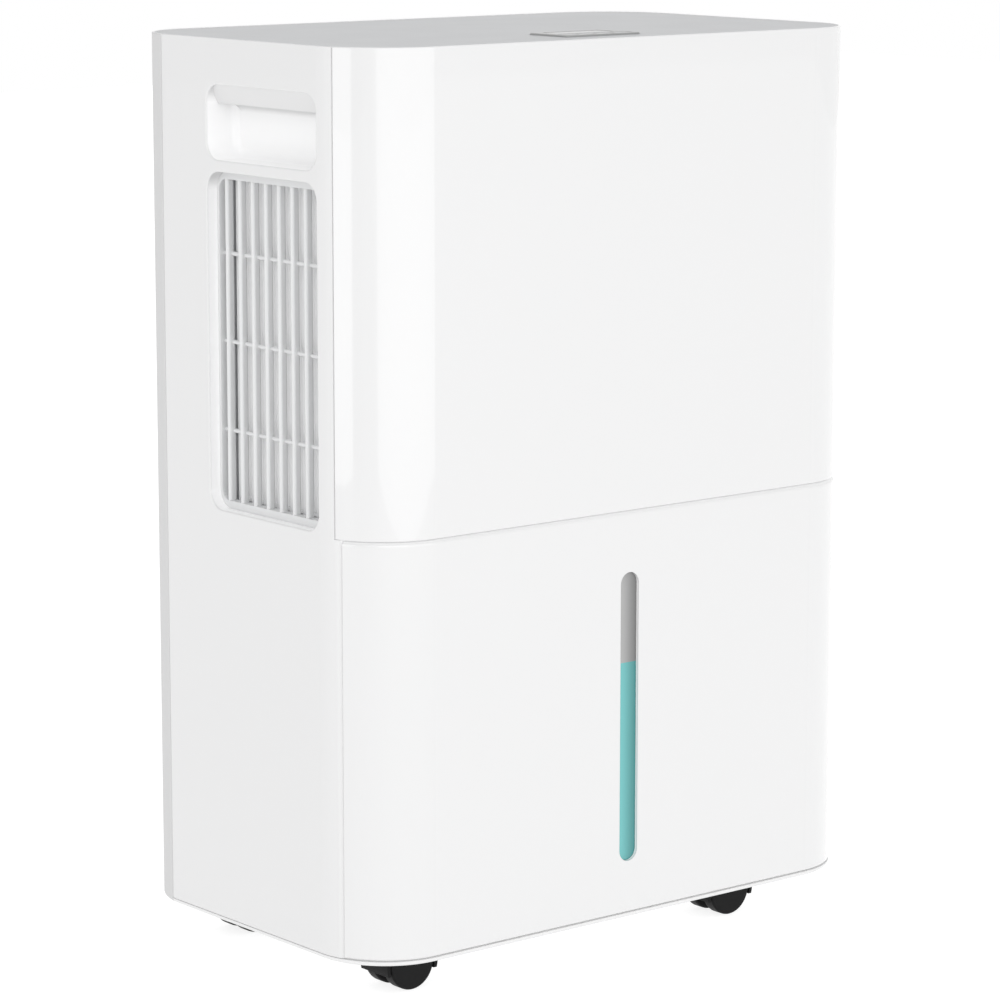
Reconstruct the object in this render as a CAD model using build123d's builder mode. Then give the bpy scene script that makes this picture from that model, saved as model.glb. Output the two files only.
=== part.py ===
from build123d import *

import os
from math import hypot

os.makedirs("parts", exist_ok=True)

# A compressor dehumidifier on four casters, in millimetres. X is to the right, Y to the back and
# Z up; the origin is on the floor under the middle of the housing.

# Housing
WIDTH = 370.0
DEPTH = 230.0
BASE_Z = 24.0
TOP_Z = 526.5
CORNER_R = 45.0
WALL = 2.5
RIM = 1.4  # thickness of the housing's top rim, around the top cover
RIM_H = 2.5
GAP = 0.3  # seam between two housing panels
PANEL_Z = 27.0  # lower edge of the side panels
BASE_TOP = 29.4
TONGUE = (2.7, 4.7)  # insets of the tongues that back the vertical seams

# Seams
COVER_Z = 261.2  # lower edge of the front cover
COVER_Y = -82.0  # where the front cover ends on the sides
REAR_Y = 75.5  # where the rear cover begins on the sides
TANK_Z = (27.2, 260.9)
TANK_Y = -86.4  # back edge of the tank front

# Side openings
SIDE_MID = -18.8  # middle of the handle and of the grille, along Y
HANDLE_W = 101.3
HANDLE_Z = (459.5, 501.1)
HANDLE_DEPTH = 20.5
HANDLE_R = 10.0
SHOULDER = (8.0, 490.0)  # depth and height where the handle's sloping roof ends
GRILLE_W = 101.6
GRILLE_Z = (263.2, 453.0)
GRILLE_R = 10.5
GRILLE_IN = 7.0  # depth of the slat fronts
SLATS = 8
SLAT_PITCH = 12.2
SLAT_T = 3.0
GRILLE_ROD_Z = (406.9, 357.4, 307.3)

# Tank
BUCKET = (352.0, 92.0, 2.2)  # width, depth, wall
BUCKET_MID = -66.0
BUCKET_Z = (46.0, 232.0)
LID_T = 2.5
BAIL_AXIS = (-80.0, 241.0)  # y, z of the carrying bail's pivots
BAIL_REACH = 36.0
BAIL_X = (145.5, 151.5)
FLOAT_AXIS = (-36.0, 224.0)  # y, z
FLOAT_X = (92.0, 128.0)
SLOT_W = 13.3
SLOT_Z = (57.5, 225.7)
WATER_Z = 173.4
DRIP = (65.0, -42.0)  # where the condensate falls into the tank

# Casters
STEM = (120.2, 73.5)
TRAIL = 13.7
WHEEL_R = 15.0
CASTER_W = 25.0
WELL_R = 36.5
WELL_Z = 37.0
STEM_R = 4.0
STEM_BORE_R = 4.06
AXLE_R = 2.0
AXLE_BORE_R = 2.06

# Air path
FAN = (20.0, 392.0)  # x, z of the fan's axis
FAN_R = 85.0
FAN_Y = (-45.0, 15.0)
SCROLL_R = 98.0
SCROLL_Y = (-66.0, 30.0)
DUCT_Z = (294.0, 440.0)
OUTLET_X = (-172.0, -158.0)
OUTLET_Z = (264.0, 452.0)
DECK_Z = (285.0, 288.0)
COIL_X = 128.0
COIL_Z = (300.0, 500.0)
CONDENSER_Y = (50.0, 72.0)
EVAPORATOR_Y = (78.0, 98.0)
FILTER_X = 131.6
FILTER_Z = (296.4, 505.6)
FILTER_Y = (106.5, 114.6)

# Rear fittings
SPIGOT = (97.0, 258.0)  # x, z
SPIGOT_R = 8.0
SPIGOT_BORE_R = 6.0
GLAND = (-95.0, 70.0)  # x, z
SCREWS = [(x, z) for x in (-125.0, 125.0) for z in (60.0, 276.0, 516.0)]

# Controls, on the top cover
PAD = (55.0, 33.0)
PAD_Y = -73.8
PAD_RISE = 0.8
KEYS = {"power": -19.5, "mode": -6.5, "humidity": 6.5, "timer": 19.5}
KEY = (10.0, 8.0)
KEY_Y = -82.5
KEY_FIT = 0.25


def outline(inset, mode=Mode.ADD):
    """The housing's plan outline, this far inside its outer faces."""
    RectangleRounded(WIDTH - 2 * inset, DEPTH - 2 * inset, CORNER_R - inset, mode=mode)


def keep_between(x_range, y_range):
    """Trims the sketch to a rectangle."""
    with Locations(((x_range[0] + x_range[1]) / 2, (y_range[0] + y_range[1]) / 2)):
        Rectangle(x_range[1] - x_range[0], y_range[1] - y_range[0], mode=Mode.INTERSECT)


def slab(inset, z_range, y_range, x_range=(-WIDTH, WIDTH), mode=Mode.ADD):
    """A flat slab with the housing's outline, trimmed to y_range and x_range."""
    with BuildSketch(Plane.XY.offset(z_range[0])) as shape:
        outline(inset)
        keep_between(x_range, y_range)
    extrude(shape.sketch, amount=z_range[1] - z_range[0], mode=mode)


def band(insets, z_range, y_range, x_range=(-WIDTH, WIDTH), mode=Mode.ADD):
    """An upright wall between two insets of the housing's outline."""
    with BuildSketch(Plane.XY.offset(z_range[0])) as shape:
        outline(insets[0])
        outline(insets[1], mode=Mode.SUBTRACT)
        keep_between(x_range, y_range)
    extrude(shape.sketch, amount=z_range[1] - z_range[0], mode=mode)


def block(x_range, y_range, z_range, mode=Mode.ADD):
    """A box between two values on each axis."""
    ranges = (x_range, y_range, z_range)
    with Locations(tuple((low + high) / 2 for low, high in ranges)):
        Box(*(high - low for low, high in ranges), mode=mode)


def rod(start, direction, radius, length, mode=Mode.ADD):
    """A cylinder that runs from start along direction."""
    with BuildSketch(Plane(origin=start, z_dir=direction)) as disc:
        Circle(radius)
    extrude(disc.sketch, amount=length, mode=mode)


def depth_at(point):
    """How far a point lies inside the housing's outer faces, seen from above."""
    over_x = abs(point.X) - (WIDTH / 2 - CORNER_R)
    over_y = abs(point.Y) - (DEPTH / 2 - CORNER_R)
    return CORNER_R - hypot(max(over_x, 0), max(over_y, 0))


def outer_edges(piece, z=None, y=None):
    """The edges on the housing's outer faces at height z, or the upright ones at y."""
    edges = piece.edges().filter_by(lambda edge: abs(depth_at(edge @ 0.5)) < 0.01)
    if z is not None:
        return edges.filter_by(lambda edge: abs((edge @ 0.5).Z - z) < 0.01)
    return edges.filter_by(Axis.Z).filter_by(lambda edge: abs((edge @ 0.5).Y - y) < 0.01)


def opening_edges(piece, z_range):
    """The edges on the left outer face round an opening between two heights."""
    edges = piece.edges().filter_by(lambda edge: abs((edge @ 0.5).X + WIDTH / 2) < 0.01)
    inside = edges.filter_by(lambda edge: abs((edge @ 0.5).Y - SIDE_MID) < HANDLE_W / 2 + 1)
    return inside.filter_by(lambda edge: z_range[0] - 1 < (edge @ 0.5).Z < z_range[1] + 1)


def save(piece, name):
    """Labels a finished piece and writes its STEP file."""
    piece.part.label = name
    export_step(piece.part, f"parts/{name}.step")


# Base: a floor with caster wells, rails for the tank and an upstand inside the panels
with BuildPart() as base_tray:
    slab(0, (BASE_Z, PANEL_Z - GAP), (-DEPTH, DEPTH))
    fillet(base_tray.edges().group_by(Axis.Z)[0], radius=2.4)
    slab(3.5, (PANEL_Z - GAP, BASE_TOP), (-DEPTH, TANK_Y))
    slab(3.1, (PANEL_Z - GAP, BASE_TOP), (TANK_Y, DEPTH))
    band((-5, 5.4), (PANEL_Z - GAP, BASE_TOP + 1), (TANK_Y, -79.6), mode=Mode.SUBTRACT)
    slab(7.0, (BASE_Z, BASE_Z + 2.2), (-DEPTH, DEPTH), mode=Mode.SUBTRACT)
    band((-5, 3.1), (BASE_Z, 30), (REAR_Y - GAP, DEPTH), mode=Mode.SUBTRACT)
    band((3.1, 5.6), (BASE_TOP - 0.1, 36), (-78, DEPTH))
    for side in (-1, 1):
        block((side * 62 - 2, side * 62 + 2), (-84, -18), (29, BUCKET_Z[0] - GAP))
    with BuildSketch(Plane.XY.offset(BASE_Z + 2.2)) as cups:
        with GridLocations(2 * STEM[0], 2 * STEM[1], 2, 2):
            Circle(WELL_R + 2.5)
        outline(3.6, mode=Mode.INTERSECT)
    extrude(amount=WELL_Z + 2.5 - BASE_Z - 2.2)
    with BuildSketch(Plane.XY.offset(BASE_Z)) as wells:
        with GridLocations(2 * STEM[0], 2 * STEM[1], 2, 2):
            Circle(WELL_R)
    extrude(amount=WELL_Z - BASE_Z, mode=Mode.SUBTRACT)
    with BuildSketch(Plane.XY.offset(WELL_Z)) as bosses:
        with GridLocations(2 * STEM[0], 2 * STEM[1], 2, 2):
            Circle(9)
    extrude(amount=8)
    with BuildSketch(Plane.XY.offset(WELL_Z)) as stem_bores:
        with GridLocations(2 * STEM[0], 2 * STEM[1], 2, 2):
            Circle(STEM_BORE_R)
    extrude(amount=8, mode=Mode.SUBTRACT)
    with BuildSketch(Plane.XY.offset(WELL_Z + 4)) as grooves:
        with GridLocations(2 * STEM[0], 2 * STEM[1], 2, 2):
            Circle(STEM_R + 0.9)
    extrude(amount=1.6, mode=Mode.SUBTRACT)
save(base_tray, "base_tray")

# Front cover: the upper front, wrapped round both front corners
with BuildPart() as front_cover:
    band((0, WALL), (COVER_Z, TOP_Z - RIM_H), (-DEPTH, COVER_Y))
    band((0, RIM), (TOP_Z - RIM_H, TOP_Z), (-DEPTH, COVER_Y))
    band((WALL - 0.1, 9), (COVER_Z, COVER_Z + 2.5), (-DEPTH, -92))
    band((WALL - 0.1, TONGUE[1]), (268, 520), (-92, COVER_Y))
    band(TONGUE, (268, 520), (COVER_Y - 0.5, -76))
    band((3.6, 6.0), (COVER_Z - 6, COVER_Z + 1), (-DEPTH, -92))
    fillet(outer_edges(front_cover, z=COVER_Z), radius=0.6)
    fillet(outer_edges(front_cover, z=TOP_Z), radius=0.6)
    fillet(outer_edges(front_cover, y=COVER_Y), radius=0.5)
save(front_cover, "front_cover")


def handle_space(grow):
    """The left handle's hollow: rounded from the side, with a roof that slopes inwards."""
    out_x = -WIDTH / 2 - 2
    in_x = -WIDTH / 2 + HANDLE_DEPTH + grow
    height = HANDLE_Z[1] - HANDLE_Z[0] + 2 * grow
    roof = [(out_x, HANDLE_Z[1] + grow), (1.5 - WIDTH / 2, HANDLE_Z[1] + grow)]
    roof += [(SHOULDER[0] - WIDTH / 2, SHOULDER[1] + grow), (in_x, SHOULDER[1] + grow)]
    with BuildPart() as space:
        with BuildSketch(Plane.YZ.offset(out_x)) as mouth:
            with Locations((SIDE_MID, (HANDLE_Z[0] + HANDLE_Z[1]) / 2)):
                RectangleRounded(HANDLE_W + 2 * grow, height, HANDLE_R + grow)
        extrude(amount=in_x - out_x)
        with BuildSketch(Plane.XZ.offset(-DEPTH / 2)) as section:
            Polygon(*roof, (in_x, HANDLE_Z[0] - grow), (out_x, HANDLE_Z[0] - grow), align=None)
        extrude(amount=DEPTH, mode=Mode.INTERSECT)
        if not grow:
            fillet(space.faces().sort_by(Axis.X)[-1].edges(), radius=5)
    return space.part


# Side panels: the left one with the grille opening, the right one plain; each has a handle
LEFT = (-WIDTH, 0)
handle_wall = handle_space(2.0)
handle_hollow = handle_space(0.0)
with BuildPart() as plain_panel:
    band((0, WALL), (PANEL_Z, COVER_Z), (TANK_Y + 0.4, REAR_Y - GAP), LEFT)
    band((0, 5.0), (PANEL_Z, COVER_Z), (TANK_Y + 0.4, -80), LEFT)
    band((0, WALL), (COVER_Z, TOP_Z - RIM_H), (COVER_Y + GAP, REAR_Y - GAP), LEFT)
    band((0, RIM), (TOP_Z - RIM_H, TOP_Z), (COVER_Y + GAP, REAR_Y - GAP), LEFT)
    band((WALL - 0.1, TONGUE[1]), (40, 520), (66, REAR_Y - GAP), LEFT)
    band(TONGUE, (40, 520), (REAR_Y - 1, REAR_Y + 5.5), LEFT)
    add(handle_wall)
    block((-WIDTH, -WIDTH / 2), (-DEPTH, DEPTH), (0, 600), mode=Mode.SUBTRACT)
    add(handle_hollow, mode=Mode.SUBTRACT)
    fillet(opening_edges(plain_panel, HANDLE_Z), radius=0.9)
    fillet(outer_edges(plain_panel, y=TANK_Y + 0.4), radius=4.0)
    fillet(outer_edges(plain_panel, y=REAR_Y - GAP), radius=0.8)

with BuildPart() as left_side_panel:
    add(plain_panel.part)
    for margin, deep, how in ((2.0, 13.0, Mode.ADD), (0.0, 15.0, Mode.SUBTRACT)):
        with BuildSketch(Plane.YZ.offset(-WIDTH / 2)) as opening:
            with Locations((SIDE_MID, (GRILLE_Z[0] + GRILLE_Z[1]) / 2)):
                height = GRILLE_Z[1] - GRILLE_Z[0] + 2 * margin
                RectangleRounded(GRILLE_W + 2 * margin, height, GRILLE_R + margin)
        extrude(amount=deep, mode=how)
    band((-5, 0), (0, 600), (-DEPTH, DEPTH), LEFT, mode=Mode.SUBTRACT)
    fillet(opening_edges(left_side_panel, GRILLE_Z), radius=0.9)
save(left_side_panel, "left_side_panel")

with BuildPart() as right_side_panel:
    add(mirror(plain_panel.part, about=Plane.YZ, mode=Mode.PRIVATE))
save(right_side_panel, "right_side_panel")

# Side grille: a frame in the left panel's opening, upright slats and three rods behind them
FRAME_X = (-WIDTH / 2 + GRILLE_IN, -WIDTH / 2 + 13.0)
with BuildPart() as side_grille:
    with BuildSketch(Plane.YZ.offset(FRAME_X[0])) as frame:
        with Locations((SIDE_MID, (GRILLE_Z[0] + GRILLE_Z[1]) / 2)):
            RectangleRounded(GRILLE_W - 0.1, GRILLE_Z[1] - GRILLE_Z[0] - 0.1, GRILLE_R - 0.05)
            RectangleRounded(GRILLE_W - 4, GRILLE_Z[1] - GRILLE_Z[0] - 9, 6, mode=Mode.SUBTRACT)
    extrude(amount=FRAME_X[1] - FRAME_X[0])
    with BuildSketch(Plane.XY.offset(GRILLE_Z[0] + 3)) as slats:
        with Locations((FRAME_X[0] + 2.5, SIDE_MID)):
            with GridLocations(1, SLAT_PITCH, 1, SLATS):
                SlotOverall(5, SLAT_T)
    extrude(amount=GRILLE_Z[1] - GRILLE_Z[0] - 6)
    for z in GRILLE_ROD_Z:
        rod((FRAME_X[0] + 3.7, SIDE_MID - HANDLE_W / 2 + 1, z), (0, 1, 0), 1.2, HANDLE_W - 2)
save(side_grille, "side_grille")

# Outlet vanes: slanting blades behind the slats that turn the air forwards
VANE = (14.0, 1.5)
VANE_X = -166.5
with BuildPart() as outlet_vanes:
    with BuildSketch(Plane.XY.offset(OUTLET_Z[0] + 3)) as vane_plan:
        with Locations((VANE_X, SIDE_MID + 1)):
            with GridLocations(1, SLAT_PITCH, 1, 7):
                SlotOverall(*VANE, rotation=-53)
    extrude(amount=OUTLET_Z[1] - OUTLET_Z[0] - 6)
    for z in (OUTLET_Z[0] + 3, OUTLET_Z[1] - 5):
        block((VANE_X - 2, VANE_X + 2), (SCROLL_Y[0] + 3, SCROLL_Y[1] - 3), (z, z + 2))
save(outlet_vanes, "outlet_vanes")

# Rear cover: wrapped round both rear corners, with the filter opening and a recess for the hose
with BuildPart() as rear_cover:
    band((0, WALL), (BASE_Z, TOP_Z - RIM_H), (REAR_Y, DEPTH))
    band((0, RIM), (TOP_Z - RIM_H, TOP_Z), (REAR_Y, DEPTH))
    block((-134, 134), (102, 112.6), (294, 508))
    block((77 - 2, 117 + 2), (88.5, 112.6), (236, 280))
    block((77, 117), (90.5, DEPTH), (238, 278), mode=Mode.SUBTRACT)
    block((-132, 132), (104.5, DEPTH), (296, 506), mode=Mode.SUBTRACT)
    block((-126, 126), (101, 105), (302, 500), mode=Mode.SUBTRACT)
    rod((SPIGOT[0], 80, SPIGOT[1]), (0, 1, 0), SPIGOT_R + 0.3, 15, mode=Mode.SUBTRACT)
    rod((GLAND[0], 100, GLAND[1]), (0, 1, 0), 8.2, 20, mode=Mode.SUBTRACT)
    for x, z in SCREWS:
        rod((x, 105, z), (0, 1, 0), 1.7, 20, mode=Mode.SUBTRACT)
        rod((x, 113.5, z), (0, 1, 0), 3.8, 5, mode=Mode.SUBTRACT)
    fillet(outer_edges(rear_cover, z=BASE_Z), radius=2.2)
    fillet(outer_edges(rear_cover, z=TOP_Z), radius=0.6)
    fillet(outer_edges(rear_cover, y=REAR_Y), radius=0.8)
save(rear_cover, "rear_cover")

with BuildPart() as cover_screws:
    for x, z in SCREWS:
        rod((x, 105, z), (0, 1, 0), 1.5, 8.6)
        rod((x, 113.6, z), (0, 1, 0), 3.5, 1.2)
        block((x - 2, x + 2), (114.2, 116), (z - 0.4, z + 0.4), mode=Mode.SUBTRACT)
save(cover_screws, "cover_screws")

# Top cover: a light panel inside the housing's rim, with an opening for the controls
with BuildPart() as top_cover:
    slab(RIM + 0.1, (TOP_Z - RIM_H + 0.05, TOP_Z - 0.3), (-DEPTH, DEPTH))
    band((6, 8), (518, TOP_Z - RIM_H + 0.1), (-DEPTH, DEPTH))
    with Locations((0, PAD_Y, 515)):
        Box(PAD[0] + 0.4, PAD[1] + 0.4, 30, mode=Mode.SUBTRACT)
save(top_cover, "top_cover")

# Controls: a raised pad, its display window, four keys and the board under them
PAD_TOP = TOP_Z + PAD_RISE
with BuildPart() as control_pad:
    with BuildSketch(Plane.XY.offset(TOP_Z - 4)) as pad_shape:
        with Locations((0, PAD_Y)):
            RectangleRounded(PAD[0], PAD[1], 2.5)
    extrude(amount=PAD_TOP - TOP_Z + 4)
    fillet(control_pad.faces().sort_by(Axis.Z)[-1].edges(), radius=0.5)
    with BuildSketch(Plane.XY.offset(TOP_Z - 6.5)) as flange:
        with Locations((0, PAD_Y)):
            RectangleRounded(PAD[0] + 5, PAD[1] + 3, 2.5)
    extrude(amount=3)
    block((-24.5, 24.5), (-87.5, -60), (TOP_Z - 7, TOP_Z - 1.5), mode=Mode.SUBTRACT)
    with BuildSketch(Plane.XY.offset(TOP_Z - 3)) as holes:
        with Locations(*((x, KEY_Y) for x in KEYS.values())):
            RectangleRounded(KEY[0] + 2 * KEY_FIT, KEY[1] + 2 * KEY_FIT, 1.5)
        with Locations((0, -68)):
            RectangleRounded(42, 14, 2)
    extrude(amount=6, mode=Mode.SUBTRACT)
save(control_pad, "control_pad")

with BuildPart() as display_window:
    with BuildSketch(Plane.XY.offset(TOP_Z - 1.5)) as glass:
        with Locations((0, -68)):
            RectangleRounded(41.8, 13.8, 2)
    extrude(amount=PAD_TOP - TOP_Z + 1.4)
save(display_window, "display_window")

for name, x in KEYS.items():
    with BuildPart() as key:
        with BuildSketch(Plane.XY.offset(TOP_Z - 3)) as cap:
            with Locations((x, KEY_Y)):
                RectangleRounded(*KEY, 1.25)
        extrude(amount=PAD_TOP - TOP_Z + 3 - 0.1)
        fillet(key.faces().sort_by(Axis.Z)[-1].edges(), radius=0.4)
        block((x - 2.5, x + 2.5), (KEY_Y - 2, KEY_Y + 2), (TOP_Z - 5, TOP_Z - 2.9))
    save(key, f"{name}_button")

with BuildPart() as display_board:
    block((-24, 24), (-87, -60.5), (TOP_Z - 11.6, TOP_Z - 10))
    for x in KEYS.values():
        block((x - 3, x + 3), (KEY_Y - 3, KEY_Y + 3), (TOP_Z - 10.1, TOP_Z - 6.5))
    block((-19, 19), (-74, -62), (TOP_Z - 10.1, TOP_Z - 3))
save(display_board, "display_board")

# Tank front: the lower front panel that is drawn out with the tank
with BuildPart() as tank_front:
    band((0, 3), TANK_Z, (-DEPTH, TANK_Y))
    slab(2.9, (TANK_Z[1] - 11, TANK_Z[1] - 8.5), (-DEPTH, TANK_Y))
    fillet(outer_edges(tank_front, z=TANK_Z[1]), radius=2.7)
    fillet(outer_edges(tank_front, z=TANK_Z[0]), radius=1.2)
    block((-70, 70), (-112.2, -100), (BASE_TOP + 0.6, BASE_TOP + 3))
    with BuildSketch(Plane.XZ.offset(DEPTH / 2 + 1)) as slot:
        with Locations((0, (SLOT_Z[0] + SLOT_Z[1]) / 2)):
            SlotOverall(SLOT_Z[1] - SLOT_Z[0], SLOT_W, rotation=90)
    extrude(amount=-6, mode=Mode.SUBTRACT)
save(tank_front, "tank_front")


def bucket_outline(inset, mode=Mode.ADD):
    """The bucket's plan outline: large corners at the front, small ones at the back."""
    half = BUCKET[0] / 2 - inset
    front = BUCKET_MID - BUCKET[1] / 2 + inset
    back = BUCKET_MID + BUCKET[1] / 2 - inset
    with BuildSketch(mode=Mode.PRIVATE) as plan:
        Polygon((-half, front), (half, front), (half, back), (-half, back), align=None)
        fillet(plan.vertices().group_by(Axis.Y)[0], radius=40 - inset)
        fillet(plan.vertices().group_by(Axis.Y)[-1], radius=12 - inset)
    add(plan.sketch, mode=mode)


FRONT_IN = BUCKET_MID - BUCKET[1] / 2 + BUCKET[2]  # inner face of the bucket's front wall
with BuildPart() as tank_bucket:
    with BuildSketch(Plane.XY.offset(BUCKET_Z[0])) as bucket_plan:
        bucket_outline(0)
    extrude(amount=BUCKET_Z[1] - BUCKET_Z[0])
    fillet(tank_bucket.edges().group_by(Axis.Z)[0], radius=5)
    with BuildSketch(Plane.XY.offset(BUCKET_Z[0] + 2.5)) as hollow:
        bucket_outline(BUCKET[2])
    extrude(amount=BUCKET_Z[1] - BUCKET_Z[0], mode=Mode.SUBTRACT)
    for side in (-1, 1):
        block((side * 8 - 1, side * 8 + 1), (FRONT_IN - 0.2, FRONT_IN + 4), (48, 226))
    with BuildSketch(Plane.XZ.offset(DEPTH / 2)) as sight:
        with Locations((0, (SLOT_Z[0] + SLOT_Z[1]) / 2)):
            SlotOverall(SLOT_Z[1] - SLOT_Z[0], SLOT_W, rotation=90)
    extrude(amount=-7, mode=Mode.SUBTRACT)
save(tank_bucket, "tank_bucket")

with BuildPart() as level_window:
    with BuildSketch(Plane.XZ.offset(DEPTH / 2 - 1.8)) as pane:
        with Locations((0, (SLOT_Z[0] + SLOT_Z[1]) / 2)):
            SlotOverall(SLOT_Z[1] - SLOT_Z[0] - 0.2, SLOT_W - 0.2, rotation=90)
    extrude(amount=FRONT_IN + DEPTH / 2 - 1.8, dir=(0, 1, 0))
save(level_window, "level_window")

with BuildPart() as water_column:
    with BuildSketch(Plane.XZ.offset(-FRONT_IN - 0.1)) as water:
        with Locations((0, (SLOT_Z[0] + SLOT_Z[1]) / 2)):
            SlotOverall(SLOT_Z[1] - SLOT_Z[0] - 0.2, SLOT_W - 0.2, rotation=90)
        with Locations((0, WATER_Z)):
            Rectangle(30, 200, align=(Align.CENTER, Align.MIN), mode=Mode.SUBTRACT)
    extrude(amount=3.5, dir=(0, 1, 0))
save(water_column, "water_column")

# Tank lid: sits on the bucket's rim, with drip and pouring holes and lugs for bail and float
LID_Z = (BUCKET_Z[1], BUCKET_Z[1] + LID_T)
with BuildPart() as tank_lid:
    with BuildSketch(Plane.XY.offset(LID_Z[0])) as lid_plan:
        bucket_outline(0.4)
        with Locations(DRIP):
            Circle(14, mode=Mode.SUBTRACT)
        with Locations((-125, -60)):
            RectangleRounded(34, 26, 8, mode=Mode.SUBTRACT)
    extrude(amount=LID_T)
    with BuildSketch(Plane.XY.offset(LID_Z[0] - 3)) as skirt:
        bucket_outline(BUCKET[2] + 0.3)
        bucket_outline(BUCKET[2] + 2.3, mode=Mode.SUBTRACT)
    extrude(amount=3.1)
    for side in (-1, 1):
        middle = side * (BAIL_X[1] + 3.5)
        block((middle - 2.5, middle + 2.5), (BAIL_AXIS[0] - 6, BAIL_AXIS[0] + 6), (LID_Z[1] - 0.1, 246.5))
        rod((middle - 4, *BAIL_AXIS), (1, 0, 0), 2.56, 8, mode=Mode.SUBTRACT)
    for x in (FLOAT_X[0] - 2.3, FLOAT_X[1] + 2.3):
        block((x - 1.8, x + 1.8), (FLOAT_AXIS[0] - 4, FLOAT_AXIS[0] + 4), (219, LID_Z[0] + 0.1))
        rod((x - 3, *FLOAT_AXIS), (1, 0, 0), 2.06, 6, mode=Mode.SUBTRACT)
save(tank_lid, "tank_lid")

with BuildPart() as tank_handle:
    y, z = BAIL_AXIS
    for side in (-1, 1):
        x_range = sorted((side * BAIL_X[0], side * BAIL_X[1]))
        block(x_range, (y, y + BAIL_REACH), (z - 3.5, z + 3.5))
        rod((x_range[0], y, z), (1, 0, 0), 3.5, BAIL_X[1] - BAIL_X[0])
        rod((side * BAIL_X[1], y, z), (side, 0, 0), 2.5, 5.5)
    block((-BAIL_X[1], BAIL_X[1]), (y + BAIL_REACH - 3.5, y + BAIL_REACH + 3.5), (z - 3.5, z + 3.5))
    block((-55, 55), (y + BAIL_REACH - 9, y + BAIL_REACH), (z - 3.5, z + 1.5))
save(tank_handle, "tank_handle")

with BuildPart() as tank_float:
    y, z = FLOAT_AXIS
    rod((FLOAT_X[0], y, z), (1, 0, 0), 3.5, FLOAT_X[1] - FLOAT_X[0])
    rod((FLOAT_X[0] - 3.8, y, z), (1, 0, 0), 2.0, FLOAT_X[1] - FLOAT_X[0] + 7.6)
    block((100, 120), (y - 40, y), (z - 3, z + 1))
    block((FLOAT_X[0], FLOAT_X[1]), (y - 62, y - 26), (z - 28, z - 4))
    block((100, 120), (y - 60, y - 28), (z - 5, z - 1))
    block((103, 117), (y, y + 6), (z - 3, z + 3))
    rod((110, y + 2, z), (0, 1, 0), 2, 10, mode=Mode.SUBTRACT)
save(tank_float, "tank_float")

with BuildPart() as float_magnet:
    rod((110, FLOAT_AXIS[0] + 3, FLOAT_AXIS[1]), (0, 1, 0), 1.95, 4)
save(float_magnet, "float_magnet")

# Inner structure: the wall behind the tank and the deck above it, with its drip tray
with BuildPart() as partition_wall:
    block((-179, 179), (-15.5, -13), (BASE_TOP + 0.2, DECK_Z[0] - 0.1))
    block((-12, 12), (-13.1, -5), (60, 240))
    block((-WIDTH, OUTLET_X[1] + 1), (-20, 0), (260, DECK_Z[1]), mode=Mode.SUBTRACT)
save(partition_wall, "partition_wall")

with BuildPart() as level_switch:
    block((100, 120), (-12.8, -9), (214, 234))
save(level_switch, "level_switch")

SUCTION_X = -145.0
DISCHARGE_X = 145.0
DUCT_RUN = (-50.0, 48.0)  # y range of the tray's channel to the drip hole
with BuildPart() as drip_deck:
    slab(5.0, DECK_Z, (-DEPTH, DEPTH))
    block((-134, 134), (44, 101), (DECK_Z[1] - 0.1, 298))
    block((DRIP[0] - 10, DRIP[0] + 10), DUCT_RUN, (DECK_Z[1] - 0.1, 292))
    block((-131.5, 131.5), (46.5, 98.7), (DECK_Z[1], 299), mode=Mode.SUBTRACT)
    channel = (DUCT_RUN[0] + 2.5, DUCT_RUN[1])
    block((DRIP[0] - 7.5, DRIP[0] + 7.5), channel, (DECK_Z[1], 299), mode=Mode.SUBTRACT)
    rod((*DRIP, 278), (0, 0, 1), 8, 8)
    rod((*DRIP, 270), (0, 0, 1), 5.5, 30, mode=Mode.SUBTRACT)
    rod((SPIGOT[0], 76, 280), (0, 0, 1), 5, 12, mode=Mode.SUBTRACT)
    rod((DISCHARGE_X, 61, 280), (0, 0, 1), 5, 12, mode=Mode.SUBTRACT)
    rod((SUCTION_X, 88, 280), (0, 0, 1), 5, 12, mode=Mode.SUBTRACT)
    block((-WIDTH, OUTLET_X[1] + 1), (-74, 38), (280, 290), mode=Mode.SUBTRACT)
save(drip_deck, "drip_deck")

with BuildPart() as drain_spigot:
    rod((SPIGOT[0], 76, SPIGOT[1]), (0, 1, 0), SPIGOT_R, 34)
    rod((SPIGOT[0], 76, SPIGOT[1]), (0, 0, 1), SPIGOT_R, DECK_Z[0] - SPIGOT[1] - 0.1)
    rod((SPIGOT[0], 90.6, SPIGOT[1]), (0, 1, 0), 13, 2)
    rod((SPIGOT[0], 76, SPIGOT[1]), (0, 1, 0), SPIGOT_BORE_R, 40, mode=Mode.SUBTRACT)
    rod((SPIGOT[0], 76, SPIGOT[1]), (0, 0, 1), SPIGOT_BORE_R, 40, mode=Mode.SUBTRACT)
save(drain_spigot, "drain_spigot")

with BuildPart() as drain_plug:
    rod((SPIGOT[0], 98, SPIGOT[1]), (0, 1, 0), SPIGOT_BORE_R - 0.06, 12.2)
    rod((SPIGOT[0], 110.2, SPIGOT[1]), (0, 1, 0), SPIGOT_R - 1, 3.6)
save(drain_plug, "drain_plug")

with BuildPart() as cord_gland:
    rod((GLAND[0], 103, GLAND[1]), (0, 1, 0), 8, 12)
    rod((GLAND[0], 103, GLAND[1]), (0, 1, 0), 12, 9.3)
    rod((GLAND[0], 100, GLAND[1]), (0, 1, 0), 3.6, 20, mode=Mode.SUBTRACT)
save(cord_gland, "cord_gland")

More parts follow.
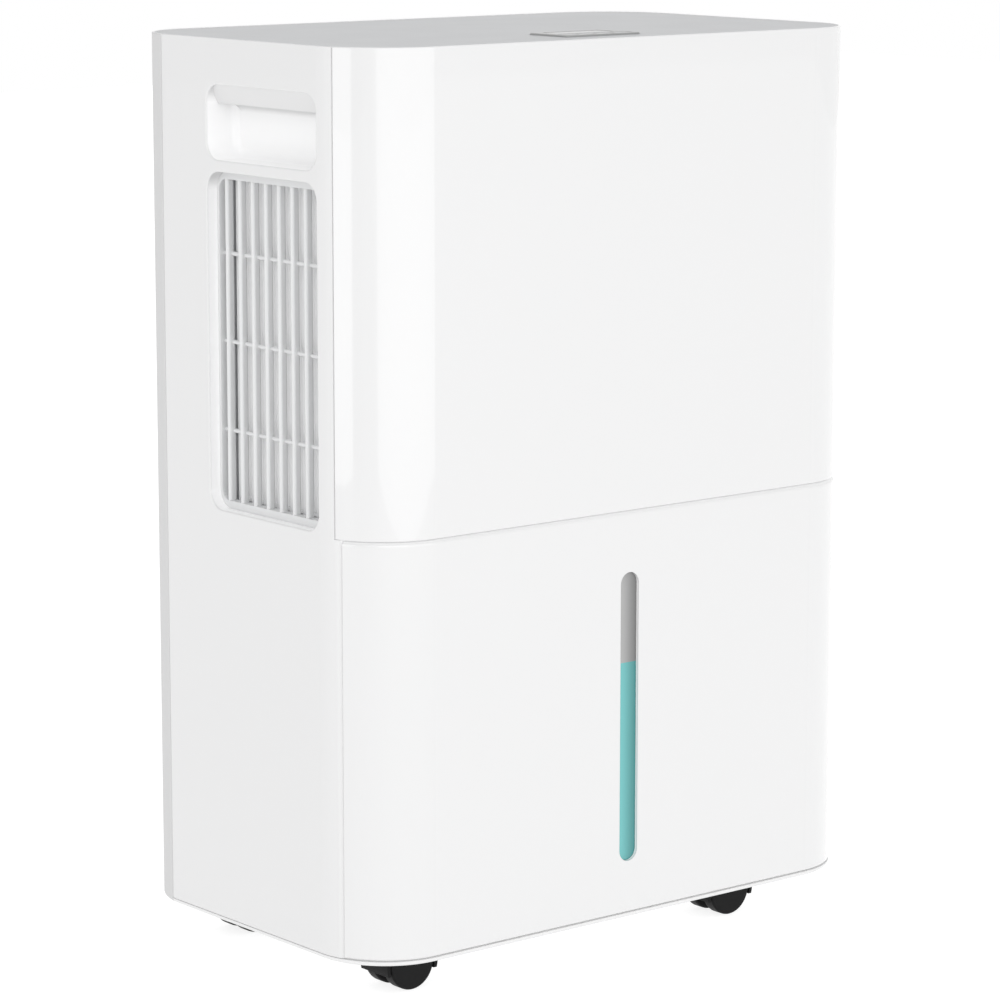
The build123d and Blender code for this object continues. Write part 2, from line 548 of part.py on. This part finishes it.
# Air filter: a louvred frame that pulls out of the rear cover, with its mesh
with BuildPart() as filter_frame:
    block((-FILTER_X, FILTER_X), FILTER_Y, FILTER_Z)
    with BuildSketch(Plane.XZ.offset(-DEPTH)) as louvre_gaps:
        with Locations((0, (FILTER_Z[0] + FILTER_Z[1]) / 2)):
            with GridLocations(62, 11, 4, 17):
                Rectangle(57, 7)
    extrude(amount=DEPTH, mode=Mode.SUBTRACT)
    block((-124, 124), (FILTER_Y[0] - 1, 109.5), (304, 498), mode=Mode.SUBTRACT)
save(filter_frame, "filter_frame")

with BuildPart() as filter_mesh:
    block((-123.9, 123.9), (108.6, 109.4), (304.1, 497.9))
save(filter_mesh, "filter_mesh")

def pipe(points, radius, bend):
    """A round pipe along straight runs joined by bends."""
    with BuildLine() as route:
        FilletPolyline(*points, radius=bend)
    with BuildSketch(Plane(origin=route.line @ 0, z_dir=route.line % 0)) as section:
        Circle(radius)
    sweep(section.sketch, path=route.line)


# Coils: finned blocks with end plates and return bends
for name, y_range in (("condenser", CONDENSER_Y), ("evaporator", EVAPORATOR_Y)):
    y_mid = (y_range[0] + y_range[1]) / 2
    with BuildPart() as coil:
        block((-COIL_X + 5, COIL_X - 5), y_range, COIL_Z)
        for side in (-1, 1):
            end = side * (COIL_X - 5)
            block((end - 1, end + 1), y_range, (COIL_Z[0] - 1.5, COIL_Z[1] + 4))
            for row in range(9):
                z = COIL_Z[0] + 12 + 22 * row
                near = (end + side, y_mid - 5, z)
                far = (end + side, y_mid + 5, z)
                bends = [(end + side * 7, y, z) for y in (y_mid - 5, y_mid + 5)]
                pipe([near, *bends, far], 3, 4.5)
    save(coil, name)

# Compressor with its terminal cover, accumulator and rubber feet
COMPRESSOR = (8.0, 51.0)
with BuildPart() as compressor:
    rod((*COMPRESSOR, 44), (0, 0, 1), 47, 156)
    fillet(compressor.edges().filter_by(GeomType.CIRCLE), radius=16)
    rod((*COMPRESSOR, 120), (0, 0, 1), 48.5, 6)
    block((COMPRESSOR[0] - 50, COMPRESSOR[0] + 50), (COMPRESSOR[1] - 47, COMPRESSOR[1] + 47), (41, 44.5))
    rod((COMPRESSOR[0] + 20, COMPRESSOR[1], 190), (0, 0, 1), 5, 16)
    with BuildSketch(Plane.XY.offset(40)) as feet_holes:
        with Locations(COMPRESSOR):
            with GridLocations(84, 80, 2, 2):
                Circle(5)
    extrude(amount=6, mode=Mode.SUBTRACT)
save(compressor, "compressor")

with BuildPart() as compressor_feet:
    with BuildSketch(Plane.XY.offset(BASE_TOP)) as feet:
        with Locations(COMPRESSOR):
            with GridLocations(84, 80, 2, 2):
                Circle(8)
    extrude(amount=41 - BASE_TOP)
    with BuildSketch(Plane.XY.offset(40.9)) as necks:
        with Locations(COMPRESSOR):
            with GridLocations(84, 80, 2, 2):
                Circle(4.9)
    extrude(amount=4.4)
save(compressor_feet, "compressor_feet")

with BuildPart() as terminal_cover:
    block((56.6, 72), (36, 66), (128, 172))
    fillet(terminal_cover.faces().sort_by(Axis.X)[-1].edges(), radius=4)
save(terminal_cover, "terminal_cover")

with BuildPart() as accumulator:
    rod((-62, 51, 84), (0, 0, 1), 15, 104)
    fillet(accumulator.edges().filter_by(GeomType.CIRCLE), radius=7)
    block((-50, -40.5), (44, 58), (150, 156))
save(accumulator, "accumulator")

with BuildPart() as refrigerant_lines:
    outlet_x = COMPRESSOR[0] + 20
    coil_end = COIL_X - 3.9
    discharge = [(outlet_x, 51, 206.2), (outlet_x, 51, 255), (DISCHARGE_X, 61, 255)]
    pipe([*discharge, (DISCHARGE_X, 61, 477), (coil_end, 61, 477)], 3, 10)
    suction = [(-62, 51, 188.2), (-62, 51, 250), (SUCTION_X, 88, 250)]
    pipe([*suction, (SUCTION_X, 88, 477), (-coil_end, 88, 477)], 3, 10)
    pipe([(coil_end, 61, 323), (137, 61, 323), (137, 88, 323), (coil_end, 88, 323)], 1.2, 4)
save(refrigerant_lines, "refrigerant_lines")

# Fan: a blower wheel on the motor's shaft, in a scroll that blows out at the left grille
with BuildPart() as fan_wheel:
    rod((FAN[0], FAN_Y[0], FAN[1]), (0, 1, 0), FAN_R, 2)
    rod((FAN[0], FAN_Y[0], FAN[1]), (0, 1, 0), 12, 22)
    with BuildSketch(Plane.XZ.offset(-FAN_Y[0] - 1)) as blades:
        with Locations(FAN):
            with PolarLocations(77, 32):
                Rectangle(14, 1.6, rotation=32)
    extrude(amount=FAN_Y[0] - FAN_Y[1] + 2)
    with BuildSketch(Plane.XZ.offset(-FAN_Y[1])) as shroud:
        with Locations(FAN):
            Circle(FAN_R)
            Circle(FAN_R - 8, mode=Mode.SUBTRACT)
    extrude(amount=2)
    rod((FAN[0], FAN_Y[0] - 1, FAN[1]), (0, 1, 0), 4, 30, mode=Mode.SUBTRACT)
save(fan_wheel, "fan_wheel")

with BuildPart() as fan_shaft:
    rod((FAN[0], -107, FAN[1]), (0, 1, 0), 4, 83)
save(fan_shaft, "fan_shaft")

with BuildPart() as fan_motor:
    rod((FAN[0], -104, FAN[1]), (0, 1, 0), 38, 37.9)
    fillet(fan_motor.edges().filter_by(GeomType.CIRCLE).group_by(Axis.Y)[0], radius=6)
    block((FAN[0] - 50, FAN[0] + 50), (-69, -66.1), (FAN[1] - 8, FAN[1] + 8))
    rod((FAN[0], -110, FAN[1]), (0, 1, 0), 4.06, 50, mode=Mode.SUBTRACT)
save(fan_motor, "fan_motor")


def scroll_profile(inset, end_x):
    """The scroll's section: the wheel's circle and the duct that leaves it to the left."""
    with Locations(FAN):
        Circle(SCROLL_R - inset)
    Polygon((end_x, DUCT_Z[0] + inset), (FAN[0], DUCT_Z[0] + inset), (FAN[0], DUCT_Z[1] - inset),
            (end_x, DUCT_Z[1] - inset), align=None)


with BuildPart() as scroll_housing:
    with BuildSketch(Plane.XZ.offset(-SCROLL_Y[1])) as whole:
        scroll_profile(0, OUTLET_X[1] - 2)
    extrude(amount=SCROLL_Y[1] - SCROLL_Y[0])
    block(OUTLET_X, (SCROLL_Y[0], SCROLL_Y[1]), OUTLET_Z)
    with BuildSketch(Plane.XZ.offset(-SCROLL_Y[1] + 2.5)) as inside:
        scroll_profile(2.5, OUTLET_X[0])
    extrude(amount=SCROLL_Y[1] - SCROLL_Y[0] - 5, mode=Mode.SUBTRACT)
    block((OUTLET_X[0] - 1, OUTLET_X[1] - 2.5), (SCROLL_Y[0] + 2.5, SCROLL_Y[1] - 2.5),
          (OUTLET_Z[0] + 2.5, OUTLET_Z[1] - 2.5), mode=Mode.SUBTRACT)
    rod((FAN[0], SCROLL_Y[1] - 5, FAN[1]), (0, 1, 0), 72, 10, mode=Mode.SUBTRACT)
    rod((FAN[0], SCROLL_Y[0] - 5, FAN[1]), (0, 1, 0), 15, 10, mode=Mode.SUBTRACT)
save(scroll_housing, "scroll_housing")

with BuildPart() as control_box:
    block((92, 150), (-100, -72), (330, 450))
    fillet(control_box.edges().filter_by(Axis.Z), radius=3)
save(control_box, "control_box")

# Casters: a hooded body on a snap-in stem, an axle and a pair of wheels
CORNERS = {"front_left": (-1, -1), "front_right": (1, -1), "rear_left": (-1, 1), "rear_right": (1, 1)}
HOOD_R = (15.7, 17.8)
HOOD_END = -5.0  # how far below the axle the hood reaches
for corner, (side, end) in CORNERS.items():
    stem_x = side * STEM[0]
    stem_y = end * STEM[1]
    hub = (stem_x - TRAIL, WHEEL_R)
    half = CASTER_W / 2
    with BuildPart() as caster:
        with BuildSketch(Plane.XZ.offset(half - stem_y)) as hood:
            with Locations(hub):
                Circle(HOOD_R[1])
                Circle(HOOD_R[0], mode=Mode.SUBTRACT)
            with Locations((hub[0], hub[1] + HOOD_END)):
                Rectangle(50, 30, align=(Align.CENTER, Align.MAX), mode=Mode.SUBTRACT)
        extrude(amount=-CASTER_W)
        with BuildSketch(Plane.XZ.offset(3.7 - stem_y)) as web:
            with Locations(hub):
                Circle(HOOD_R[0] + 0.1)
                Rectangle(50, 30, align=(Align.CENTER, Align.MAX), mode=Mode.SUBTRACT)
                Circle(8)
            with Locations((stem_x - 6, 24)):
                Rectangle(13, 11, align=(Align.MIN, Align.MIN))
        extrude(amount=-7.4)
        rod((stem_x, stem_y, 31), (0, 0, 1), 8, WELL_Z - 0.1 - 31)
        rod((stem_x, stem_y, 31), (0, 0, 1), STEM_R, 13.4)
        rod((stem_x, stem_y, WELL_Z + 4.2), (0, 0, 1), STEM_R + 0.6, 1.2)
        rod((hub[0], stem_y - half, hub[1]), (0, 1, 0), AXLE_BORE_R, CASTER_W, mode=Mode.SUBTRACT)
    save(caster, f"caster_{corner}_body")
    with BuildPart() as axle:
        rod((hub[0], stem_y - half + 1, hub[1]), (0, 1, 0), AXLE_R, CASTER_W - 2)
    save(axle, f"caster_{corner}_axle")
    with BuildPart() as wheels:
        for near, far in ((-half, -4.1), (4.1, half)):
            rod((hub[0], stem_y + near, hub[1]), (0, 1, 0), WHEEL_R, far - near)
        fillet(wheels.edges().filter_by(GeomType.CIRCLE), radius=1.2)
        rod((hub[0], stem_y - half + 1, hub[1]), (0, 1, 0), AXLE_R, CASTER_W - 2, mode=Mode.SUBTRACT)
    save(wheels, f"caster_{corner}_wheels")
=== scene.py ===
from math import pi, radians

import bpy
from mathutils import Euler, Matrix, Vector

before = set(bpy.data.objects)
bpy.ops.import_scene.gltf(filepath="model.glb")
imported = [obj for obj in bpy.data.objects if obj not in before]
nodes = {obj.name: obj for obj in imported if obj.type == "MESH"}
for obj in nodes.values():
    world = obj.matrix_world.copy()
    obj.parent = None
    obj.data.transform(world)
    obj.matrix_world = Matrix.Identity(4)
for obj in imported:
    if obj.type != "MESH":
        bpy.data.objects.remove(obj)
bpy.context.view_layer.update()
scene = bpy.context.scene

CORNERS = ("front_left", "front_right", "rear_left", "rear_right")
KEYS = ("power", "mode", "humidity", "timer")
WHITE = (1, 1, 1, 1)

# Lengths are in metres, angles in degrees and the powers of lights in watts.
CORNER_RADIUS = 0.045              # upright corners of the housing
CORNER_CENTRE = (0.140, 0.070)     # the axis of an upright corner, from the middle of the housing
SKIN = (0.0003, 0.0015)            # depths over which a shell's own colour turns into its painted light and shade and its painted glow
EDGE_ROUNDING = 0.0005             # how far shading rounds the sharp edges of moulded pieces
WINDOW_HALF = 0.0066               # half the width of the level window
WATER_LINE = (0.1731, 0.1736)      # lower and upper edge of the soft water line
FIN_SPACING = 0.0018
THREAD_SPACING = 0.0012
WAVE_PERIOD = pi / 10              # length of one band of a wave texture at scale 1
COAT_ROUGHNESS = 0.015             # of the clear gloss on top of a plastic


# ---------------------------------------------------------------- camera, floor and light

def make_camera():
    """Stands in front and to the left of the object, a little above its middle."""
    data = bpy.data.cameras.new("camera")
    camera = bpy.data.objects.new("camera", data)
    scene.collection.objects.link(camera)
    data.sensor_width = 36
    data.lens = 140.7
    data.shift_x, data.shift_y = 0.013, -0.013
    look_down, look_right = 9.861, 39.087
    camera.location = (-1.4290, -1.7461, 0.6512)
    camera.rotation_euler = Euler((radians(90 - look_down), 0, radians(-look_right)))
    scene.camera = camera


def make_floor():
    """A plain pale floor that gives off a little light, so it stays as pale as the studio."""
    half = 6.0
    corners = [(-half, -half, 0), (half, -half, 0), (half, half, 0), (-half, half, 0)]
    mesh = bpy.data.meshes.new("floor")
    mesh.from_pydata(corners, [], [(0, 1, 2, 3)])
    floor = bpy.data.objects.new("floor", mesh)
    scene.collection.objects.link(floor)
    material, _, shader = new_material("floor")
    shader.inputs["Base Color"].default_value = (0.3, 0.3, 0.3, 1)
    shader.inputs["Roughness"].default_value = 0.9
    shader.inputs["Emission Color"].default_value = WHITE
    shader.inputs["Emission Strength"].default_value = 0.85
    mesh.materials.append(material)


def area_light(name, place, aim, size, power):
    data = bpy.data.lights.new(name, "AREA")
    data.shape = "RECTANGLE"
    data.size, data.size_y = size
    data.energy = power
    light = bpy.data.objects.new(name, data)
    scene.collection.objects.link(light)
    light.location = place
    light.rotation_euler = (Vector(aim) - Vector(place)).to_track_quat("-Z", "Y").to_euler()
    return light


def make_world():
    """A white studio that is a little darker towards the rear left."""
    world = bpy.data.worlds.new("studio")
    scene.world = world
    world.use_nodes = True
    tree = world.node_tree
    background = tree.nodes["Background"]
    background.inputs["Color"].default_value = WHITE
    around = tree.nodes.new("ShaderNodeTexCoord").outputs["Generated"]
    toward = vector_math(tree, "DOT_PRODUCT", around, (-0.75, 0.66, 0)).outputs["Value"]
    strength = ranged(tree, toward, (0.2, 1.0), (1.0, 0.72))
    link(tree, strength, background.inputs["Strength"])


def make_lights():
    """Two soft lights, and two panels that show only as reflections, as on the front corner."""
    area_light("front", (-1.4, -2.7, 1.5), (0, 0, 0.3), (2.4, 1.6), 9.5)
    area_light("left", (-1.5, -0.9, 1.3), (-0.18, 0, 0.45), (0.5, 0.5), 1.3)
    box = area_light("box", (-0.28, -1.32, 0.68), (-0.14, -0.07, 0.68), (2.1, 1.3), 7.2)
    strip = area_light("strip", (-1.67, 0.14, 0.68), (-0.18, -0.07, 0.68), (0.92, 1.3), 4.5)
    for reflected in (box, strip):
        reflected.visible_diffuse = False
        reflected.visible_camera = False


# ---------------------------------------------------------------- shader nodes

def new_material(name):
    material = bpy.data.materials.new(name)
    material.use_nodes = True
    return material, material.node_tree, material.node_tree.nodes["Principled BSDF"]


def link(tree, source, target):
    tree.links.new(source, target)


def location(tree):
    """A point's own place on its piece, in metres."""
    return tree.nodes.new("ShaderNodeTexCoord").outputs["Object"]


def part_of(tree, vector, axis):
    """One coordinate of a vector."""
    split = tree.nodes.new("ShaderNodeSeparateXYZ")
    link(tree, vector, split.inputs["Vector"])
    return split.outputs[axis]


def vector_math(tree, operation, vector, value=None):
    """A vector operation, with a fixed second vector where it takes one."""
    node = tree.nodes.new("ShaderNodeVectorMath")
    node.operation = operation
    link(tree, vector, node.inputs[0])
    if value:
        node.inputs[1].default_value = value
    return node


def ranged(tree, value, source, target):
    """Maps one range of values to another, with soft ends."""
    node = tree.nodes.new("ShaderNodeMapRange")
    node.interpolation_type = "SMOOTHSTEP"
    node.inputs["From Min"].default_value, node.inputs["From Max"].default_value = source
    node.inputs["To Min"].default_value, node.inputs["To Max"].default_value = target
    link(tree, value, node.inputs["Value"])
    return node.outputs["Result"]


def noise(tree, scale, detail=3.0, stretch=(1, 1, 1)):
    """Cloudy noise from 0 to 1, in cells per metre."""
    mapping = tree.nodes.new("ShaderNodeMapping")
    mapping.inputs["Scale"].default_value = stretch
    texture = tree.nodes.new("ShaderNodeTexNoise")
    texture.inputs["Scale"].default_value = scale
    texture.inputs["Detail"].default_value = detail
    link(tree, location(tree), mapping.inputs["Vector"])
    link(tree, mapping.outputs["Vector"], texture.inputs["Vector"])
    return texture.outputs["Fac"]


def spread(tree, cloud, low, high):
    """Turns cloudy noise, which keeps near its middle, into a range of numbers."""
    return ranged(tree, cloud, (0.3, 0.7), (low, high))


def waves(tree, axis, spacing):
    """Even bands across one axis."""
    texture = tree.nodes.new("ShaderNodeTexWave")
    texture.bands_direction = axis
    texture.inputs["Scale"].default_value = WAVE_PERIOD / spacing
    link(tree, location(tree), texture.inputs["Vector"])
    return texture.outputs["Fac"]


def larger(tree, first, second):
    node = tree.nodes.new("ShaderNodeMath")
    node.operation = "MAXIMUM"
    link(tree, first, node.inputs[0])
    link(tree, second, node.inputs[1])
    return node.outputs["Value"]


def mix(tree, factor, low, high):
    """Mixes two colours; each is a plain colour or the output of a node."""
    node = tree.nodes.new("ShaderNodeMix")
    node.data_type = "RGBA"
    link(tree, factor, node.inputs["Factor"])
    for socket, colour in (("A", low), ("B", high)):
        if isinstance(colour, tuple):
            node.inputs[socket].default_value = (*colour, 1)
        else:
            link(tree, colour, node.inputs[socket])
    return node.outputs["Result"]


def bump(tree, height, strength, distance, rounding=0.0):
    """Raises the surface by a value; rounding softens the sharp edges of the piece."""
    node = tree.nodes.new("ShaderNodeBump")
    node.inputs["Strength"].default_value = strength
    node.inputs["Distance"].default_value = distance
    link(tree, height, node.inputs["Height"])
    if rounding:
        bevel = tree.nodes.new("ShaderNodeBevel")
        bevel.samples = 4
        bevel.inputs["Radius"].default_value = rounding
        link(tree, bevel.outputs["Normal"], node.inputs["Normal"])
    return node.outputs["Normal"]


def depth(tree):
    """How deep a point lies inside the upright outer faces of the housing, in metres."""
    vector = vector_math(tree, "ABSOLUTE", location(tree)).outputs["Vector"]
    # The third number is above every height, so that heights count for nothing.
    vector = vector_math(tree, "SUBTRACT", vector, (*CORNER_CENTRE, 1.0)).outputs["Vector"]
    vector = vector_math(tree, "MAXIMUM", vector, (0, 0, 0)).outputs["Vector"]
    inside = tree.nodes.new("ShaderNodeMath")
    inside.operation = "SUBTRACT"
    inside.inputs[0].default_value = CORNER_RADIUS
    link(tree, vector_math(tree, "LENGTH", vector).outputs["Value"], inside.inputs[1])
    return inside.outputs["Value"]


# ---------------------------------------------------------------- materials

def plastic(name, colour, roughness=0.3, grain=900.0, height=0.00001, coat=0.0, tone=0.02,
            ior=1.5, vary=0.03):
    """Moulded plastic: faint cloudiness in colour and gloss, and a fine mould grain.

    grain is in cells per metre, height is the grain's height, tone is how much darker the
    clouds are, and vary is how far the roughness strays."""
    material, tree, shader = new_material(name)
    darker = tuple(c * (1 - tone) for c in colour)
    gloss = spread(tree, noise(tree, 25.0, 1.0), roughness - vary, roughness + vary)
    surface = bump(tree, noise(tree, grain, 4.0), 0.15, height, EDGE_ROUNDING)
    link(tree, mix(tree, noise(tree, 14.0), darker, colour), shader.inputs["Base Color"])
    link(tree, gloss, shader.inputs["Roughness"])
    link(tree, surface, shader.inputs["Normal"])
    shader.inputs["IOR"].default_value = ior
    if coat:
        shader.inputs["Coat Weight"].default_value = coat
        shader.inputs["Coat Roughness"].default_value = COAT_ROUGHNESS
    return material


def shell(name, colour, roughness, coat, painted_glow=0.04):
    """White shell plastic with painted light and shade deeper inside its walls: paler on upward
    faces, darker on downward ones, and a faint painted glow.
    """
    material = plastic(name, colour, roughness, 2500.0, 0.000002, coat, 0.004, vary=0.008)
    tree = material.node_tree
    shader = tree.nodes["Principled BSDF"]
    outer = shader.inputs["Base Color"].links[0].from_socket
    normal = tree.nodes.new("ShaderNodeNewGeometry").outputs["Normal"]
    # Painted light and shade: deeper in, faces turned down are painted dark and faces turned up are
    # painted pale.
    lit_above_shaded_below = ranged(tree, part_of(tree, normal, "Z"), (-0.8, 0.1), (0.0, 1.0))
    inner = mix(tree, lit_above_shaded_below, (0.57, 0.57, 0.572), (0.94, 0.94, 0.942))
    inside = ranged(tree, depth(tree), SKIN, (0.0, 1.0))
    link(tree, mix(tree, inside, outer, inner), shader.inputs["Base Color"])
    # Painted glow: deeper inside its walls the shell gives off a little light, though it is no
    # lamp.
    shader.inputs["Emission Color"].default_value = WHITE
    link(tree, ranged(tree, depth(tree), SKIN, (0.0, painted_glow)), shader.inputs["Emission Strength"])
    return material


def metal(name, colour, roughness=0.3):
    """Drawn or ground metal with fine lines around its upright axis."""
    material, tree, shader = new_material(name)
    lines = noise(tree, 400.0, 4.0, (1, 1, 30))
    darker = tuple(c * 0.85 for c in colour)
    gloss = spread(tree, lines, roughness - 0.06, roughness + 0.08)
    link(tree, mix(tree, lines, darker, colour), shader.inputs["Base Color"])
    link(tree, gloss, shader.inputs["Roughness"])
    link(tree, bump(tree, lines, 0.2, 0.00002, 0.0003), shader.inputs["Normal"])
    shader.inputs["Metallic"].default_value = 1
    return material


def fins():
    """Thin upright aluminium fins across the coils, drawn as bands whose dark stripes are painted
    shade in the gaps between fins.
    """
    material, tree, shader = new_material("fin_aluminium")
    ribs = waves(tree, "X", FIN_SPACING)
    # The dark bands are painted shade between the fins; the pale bands are the fins' own colour.
    colour = mix(tree, ribs, (0.25, 0.255, 0.26), (0.8, 0.81, 0.82))
    link(tree, colour, shader.inputs["Base Color"])
    link(tree, spread(tree, noise(tree, 40.0), 0.3, 0.45), shader.inputs["Roughness"])
    link(tree, bump(tree, ribs, 0.8, 0.0006), shader.inputs["Normal"])
    shader.inputs["Metallic"].default_value = 1
    return material


def net():
    """A fine woven net; the squares between its threads are painted near-black as painted shade
    where the openings are.
    """
    material, tree, shader = new_material("filter_net")
    threads = larger(tree, waves(tree, "X", THREAD_SPACING), waves(tree, "Z", THREAD_SPACING))
    # The dark squares are painted shade in the net's openings; the threads keep their own grey.
    colour = mix(tree, threads, (0.02, 0.022, 0.025), (0.32, 0.34, 0.37))
    link(tree, colour, shader.inputs["Base Color"])
    link(tree, bump(tree, threads, 0.8, 0.0003), shader.inputs["Normal"])
    link(tree, spread(tree, noise(tree, 30.0), 0.6, 0.8), shader.inputs["Roughness"])
    return material


def window():
    """The level window: grey above the water line, blue-green below, and darker to the right as
    painted shade across its rounded channel.
    """
    material, tree, shader = new_material("window_plastic")
    # Painted shade: the window darkens from its left edge to its right.
    painted_channel_shade = ranged(tree, part_of(tree, location(tree), "X"), (-WINDOW_HALF, WINDOW_HALF), (0, 1))
    dry = mix(tree, painted_channel_shade, (0.42, 0.42, 0.42), (0.19, 0.19, 0.19))
    wet = mix(tree, painted_channel_shade, (0.17, 0.52, 0.52), (0.065, 0.265, 0.265))
    above = ranged(tree, part_of(tree, location(tree), "Z"), WATER_LINE, (0, 1))
    link(tree, mix(tree, above, wet, dry), shader.inputs["Base Color"])
    link(tree, spread(tree, noise(tree, 60.0), 0.12, 0.2), shader.inputs["Roughness"])
    link(tree, bump(tree, noise(tree, 700.0), 0.1, 0.00001, 0.0008), shader.inputs["Normal"])
    return material


# ---------------------------------------------------------------- painting

def paint(material, *node_names):
    for name in node_names:
        mesh = nodes[name].data
        mesh.materials.clear()
        mesh.materials.append(material)


def paint_shells():
    # A fifth number given to shell is the strength of its painted glow.
    gloss = shell("gloss_white_plastic", (0.745, 0.745, 0.747), 0.22, 1.0, 0.1)
    paint(gloss, "front_cover", "tank_front")
    satin = shell("satin_white_plastic", (0.75, 0.75, 0.752), 0.4, 0.15)
    paint(satin, "left_side_panel", "right_side_panel")
    # The rear cover's white is darker than the other shells as painted shade, where it curves away
    # from the light.
    paint(shell("rear_white_plastic_painted_shade", (0.63, 0.63, 0.632), 0.6, 0.0), "rear_cover")
    paint(shell("matte_white_plastic", (0.77, 0.77, 0.772), 0.45, 0.0, 0.08), "base_tray")
    fitting = plastic("fitting_plastic", (0.74, 0.745, 0.75), 0.4)
    paint(fitting, "side_grille", "filter_frame", "drain_spigot")
    # The vanes are painted paler than the other white plastics, as painted light inside the shaded
    # grille.
    paint(plastic("vane_plastic_painted_light", (0.93, 0.932, 0.936), 0.5), "outlet_vanes")


def paint_top():
    top = plastic("top_plastic", (0.412, 0.419, 0.43), 0.35, tone=0.006, vary=0.01)
    paint(top, "top_cover")
    paint(plastic("pad_plastic", (0.385, 0.389, 0.387), 0.3), "control_pad")
    key = plastic("key_plastic", (0.40, 0.405, 0.41), 0.3)
    paint(key, *[f"{k}_button" for k in KEYS])
    paint(plastic("display_glass", (0.05, 0.055, 0.06), 0.08), "display_window")
    paint(plastic("circuit_board", (0.03, 0.2, 0.08), 0.4), "display_board")


def paint_tank():
    paint(plastic("bucket_plastic", (0.66, 0.67, 0.68), 0.35), "tank_bucket", "tank_lid")
    paint(plastic("bail_plastic", (0.55, 0.56, 0.58), 0.35), "tank_handle")
    paint(plastic("float_foam", (0.8, 0.8, 0.77), 0.7, 300.0, 0.0001), "tank_float")
    paint(window(), "level_window")
    paint(plastic("water_tint", (0.1, 0.36, 0.36), 0.12), "water_column")


def paint_inside():
    inner = plastic("inner_plastic", (0.66, 0.67, 0.68), 0.5)
    paint(inner, "partition_wall", "drip_deck", "scroll_housing")
    black = plastic("black_plastic", (0.03, 0.03, 0.032), 0.45)
    paint(black, "level_switch", "terminal_cover", "fan_wheel", "control_box", "cord_gland")
    paint(net(), "filter_mesh")
    paint(plastic("rubber", (0.03, 0.03, 0.03), 0.75), "drain_plug", "compressor_feet")
    steel = metal("steel", (0.6, 0.6, 0.62))
    paint(steel, "cover_screws", "fan_shaft", "fan_motor", "float_magnet")
    paint(steel, *[f"caster_{c}_axle" for c in CORNERS])
    paint(fins(), "condenser", "evaporator")
    paint(metal("copper", (0.75, 0.4, 0.25)), "refrigerant_lines")
    compressor = plastic("compressor_paint", (0.02, 0.02, 0.02))
    paint(compressor, "compressor", "accumulator")


def paint_casters():
    nylon = plastic("caster_nylon", (0.004, 0.004, 0.0043), 0.5, ior=1.26)
    paint(nylon, *[f"caster_{c}_{piece}" for piece in ("body", "wheels") for c in CORNERS])


make_camera()
make_floor()
make_world()
make_lights()
paint_shells()
paint_top()
paint_tank()
paint_inside()
paint_casters()
scene.view_settings.view_transform = "Standard"
